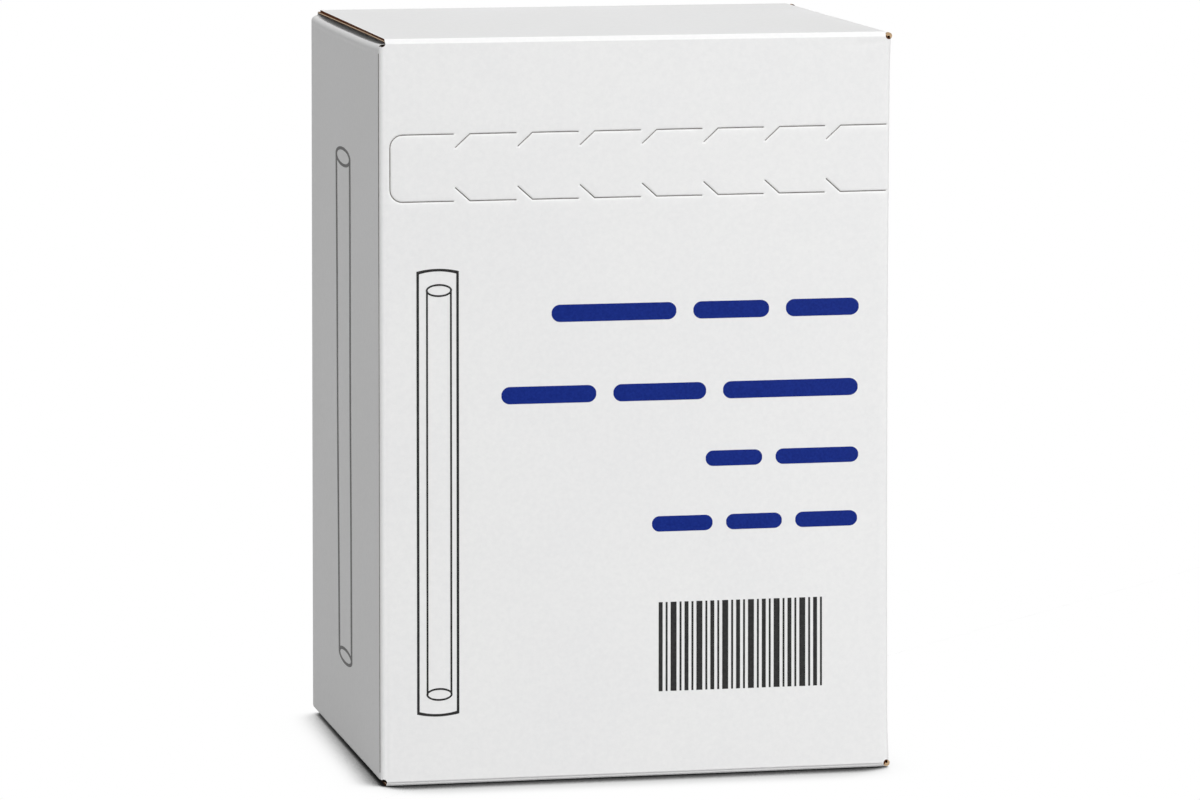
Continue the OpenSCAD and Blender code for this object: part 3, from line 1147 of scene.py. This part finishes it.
def floor_material():
    """Pale floor: white to the camera and in reflections, darker beside what stands on it."""
    nodes = Nodes("studio_floor")
    tree = nodes.tree
    seen = contact_shadow(nodes, *SHADOWS[0]).outputs["Color"]
    for shadow in SHADOWS[1:]:
        both = nodes.add("ShaderNodeMix", data_type="RGBA", blend_type="MULTIPLY")
        both.inputs["Factor"].default_value = 1.0
        tree.links.new(seen, both.inputs["A"])
        part = contact_shadow(nodes, *shadow)
        if shadow is SHADOWS[-1]:
            part = fading(nodes, part)
        tree.links.new(part.outputs[0], both.inputs["B"])
        seen = both.outputs["Result"]
    white = nodes.add("ShaderNodeEmission")
    tree.links.new(seen, white.inputs["Color"])
    nodes.shader.inputs["Base Color"].default_value = (FLOOR_LIGHT, FLOOR_LIGHT, FLOOR_LIGHT, 1)
    nodes.shader.inputs["Roughness"].default_value = 0.9
    mix = nodes.add("ShaderNodeMixShader")
    tree.links.new(seen_directly(tree), mix.inputs["Fac"])
    tree.links.new(nodes.shader.outputs["BSDF"], mix.inputs[1])
    tree.links.new(white.outputs["Emission"], mix.inputs[2])
    tree.links.new(mix.outputs["Shader"], nodes.output.inputs["Surface"])
    return nodes.material


def floor():
    """The floor that the carton stands on."""
    mesh = bpy.data.meshes.new("floor")
    half = FLOOR_HALF * MM
    corners = [(-half, -half, 0), (half, -half, 0), (half, half, 0), (-half, half, 0)]
    mesh.from_pydata(corners, [], [(0, 1, 2, 3)])
    mesh.materials.append(floor_material())
    piece = new_object("floor", mesh)


WORLD_LIGHT = 0.6


def world():
    """Even soft light from all round, and white where the camera or a reflection sees it."""
    sky = bpy.data.worlds.new("studio")
    sky.use_nodes = True
    tree = sky.node_tree
    tree.nodes.clear()
    mix = tree.nodes.new("ShaderNodeMixShader")
    output = tree.nodes.new("ShaderNodeOutputWorld")
    tree.links.new(seen_directly(tree), mix.inputs["Fac"])
    for socket, strength in ((1, WORLD_LIGHT), (2, 1.0)):
        glow = tree.nodes.new("ShaderNodeBackground")
        glow.inputs["Color"].default_value = (1.0, 1.0, 1.0, 1)
        glow.inputs["Strength"].default_value = strength
        tree.links.new(glow.outputs["Background"], mix.inputs[socket])
    tree.links.new(mix.outputs["Shader"], output.inputs["Surface"])
    bpy.context.scene.world = sky


def lamp(name, place, aim, size, power):
    """A square soft lamp that faces what it lights."""
    light = bpy.data.lights.new(name, "AREA")
    light.shape = "SQUARE"
    light.size = size * MM
    light.energy = power
    piece = new_object(name, light)
    piece.location = Vector(place) * MM
    piece.rotation_euler = (Vector(aim) - Vector(place)).to_track_quat("-Z", "Y").to_euler()
    piece.visible_camera = False


# Where the camera stands, and the degrees that it looks down and turns to the right
CAMERA_PLACE = (-375.95, -1828.31, 353.31)
CAMERA_DOWN = 7.604
CAMERA_TURN = 11.678
# Focal length in pixels of the photograph, which is 1200 wide
FOCAL_PX = 6226.3
PHOTO_W_PX = 1200
SENSOR = 36.0


def camera():
    """The photograph's camera."""
    lens = bpy.data.cameras.new("camera")
    lens.sensor_fit = "HORIZONTAL"
    lens.sensor_width = SENSOR
    lens.lens = FOCAL_PX / PHOTO_W_PX * SENSOR
    lens.clip_start = 0.05
    lens.clip_end = 200.0
    piece = new_object("camera", lens)
    piece.location = Vector(CAMERA_PLACE) * MM
    piece.rotation_euler = (math.radians(90 - CAMERA_DOWN), 0, -math.radians(CAMERA_TURN))
    bpy.context.scene.camera = piece


# How much finer the board's structure is than a metre along each axis: level plies, and loose fibres
PLIES = (900, 900, 9000)
FIBRES = (900, 900, 900)

coat = coated_board("coated_board")
# Coat painted brighter, as a highlight on the cuts' lower lips and the flat top front fold.
pressed = coated_board("painted_highlight_coat", painted_lift=0.072)
raw_edge = raw_board("raw_edge", (0.06, 0.018, 0.006), (0.12, 0.042, 0.015), PLIES)
# Tan raw board, painted on the lit side of the relief holes' rings as a highlight.
painted_lit_raw = raw_board("painted_lit_raw", (0.42, 0.28, 0.16), (0.6, 0.43, 0.27), PLIES)
# Pale raw board: a painted highlight on a band of the inner flap's edge.
painted_lit_edge = raw_board("painted_lit_edge", (0.75, 0.56, 0.38), (0.9, 0.72, 0.52), PLIES)
# Near-black board: painted shade in the crevices, the relief holes and the middle of their backing.
inside = raw_board("painted_shade_board", (0.014, 0.009, 0.006), (0.028, 0.019, 0.013), FIBRES)
cut_core = raw_board("cut_core", (0.2, 0.19, 0.18), (0.3, 0.285, 0.27), FIBRES)
surfaces = [coat, raw_edge, painted_lit_edge, inside, cut_core, pressed]
carton = finish_mesh(carton_mesh(), "carton_board_sheet", surfaces)
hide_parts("carton")
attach(carton, "root")

backing = finish_mesh(relief_backing(), "relief_backing", [raw_edge, painted_lit_raw, inside])
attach(backing, "root")

black = ink("ink_black", (0.035, 0.034, 0.034), (0.018, 0.018, 0.018))
navy = ink("ink_navy", (0.004, 0.022, 0.22), (0.0, 0.013, 0.17))
print_piece(wrapped_straw("front"), "straw_drawing_front", black)
print_piece(large_tube("left", -1), "straw_drawing_left", black)
print_piece(label_bars("front"), "label_bars_front", navy)
print_piece(code_block("front"), "code_block_front", black)

floor()
world()
lamp("key", place=(800, -5800, 4994), aim=(0, -40, 110), size=4000, power=268)
lamp("fill", place=(650, -900, 40), aim=(0, -40, 70), size=400, power=4.2)
lamp("rear", place=(350, 1500, 60), aim=(0, 0, 110), size=700, power=10)
camera()

bpy.context.scene.view_settings.view_transform = "Standard"
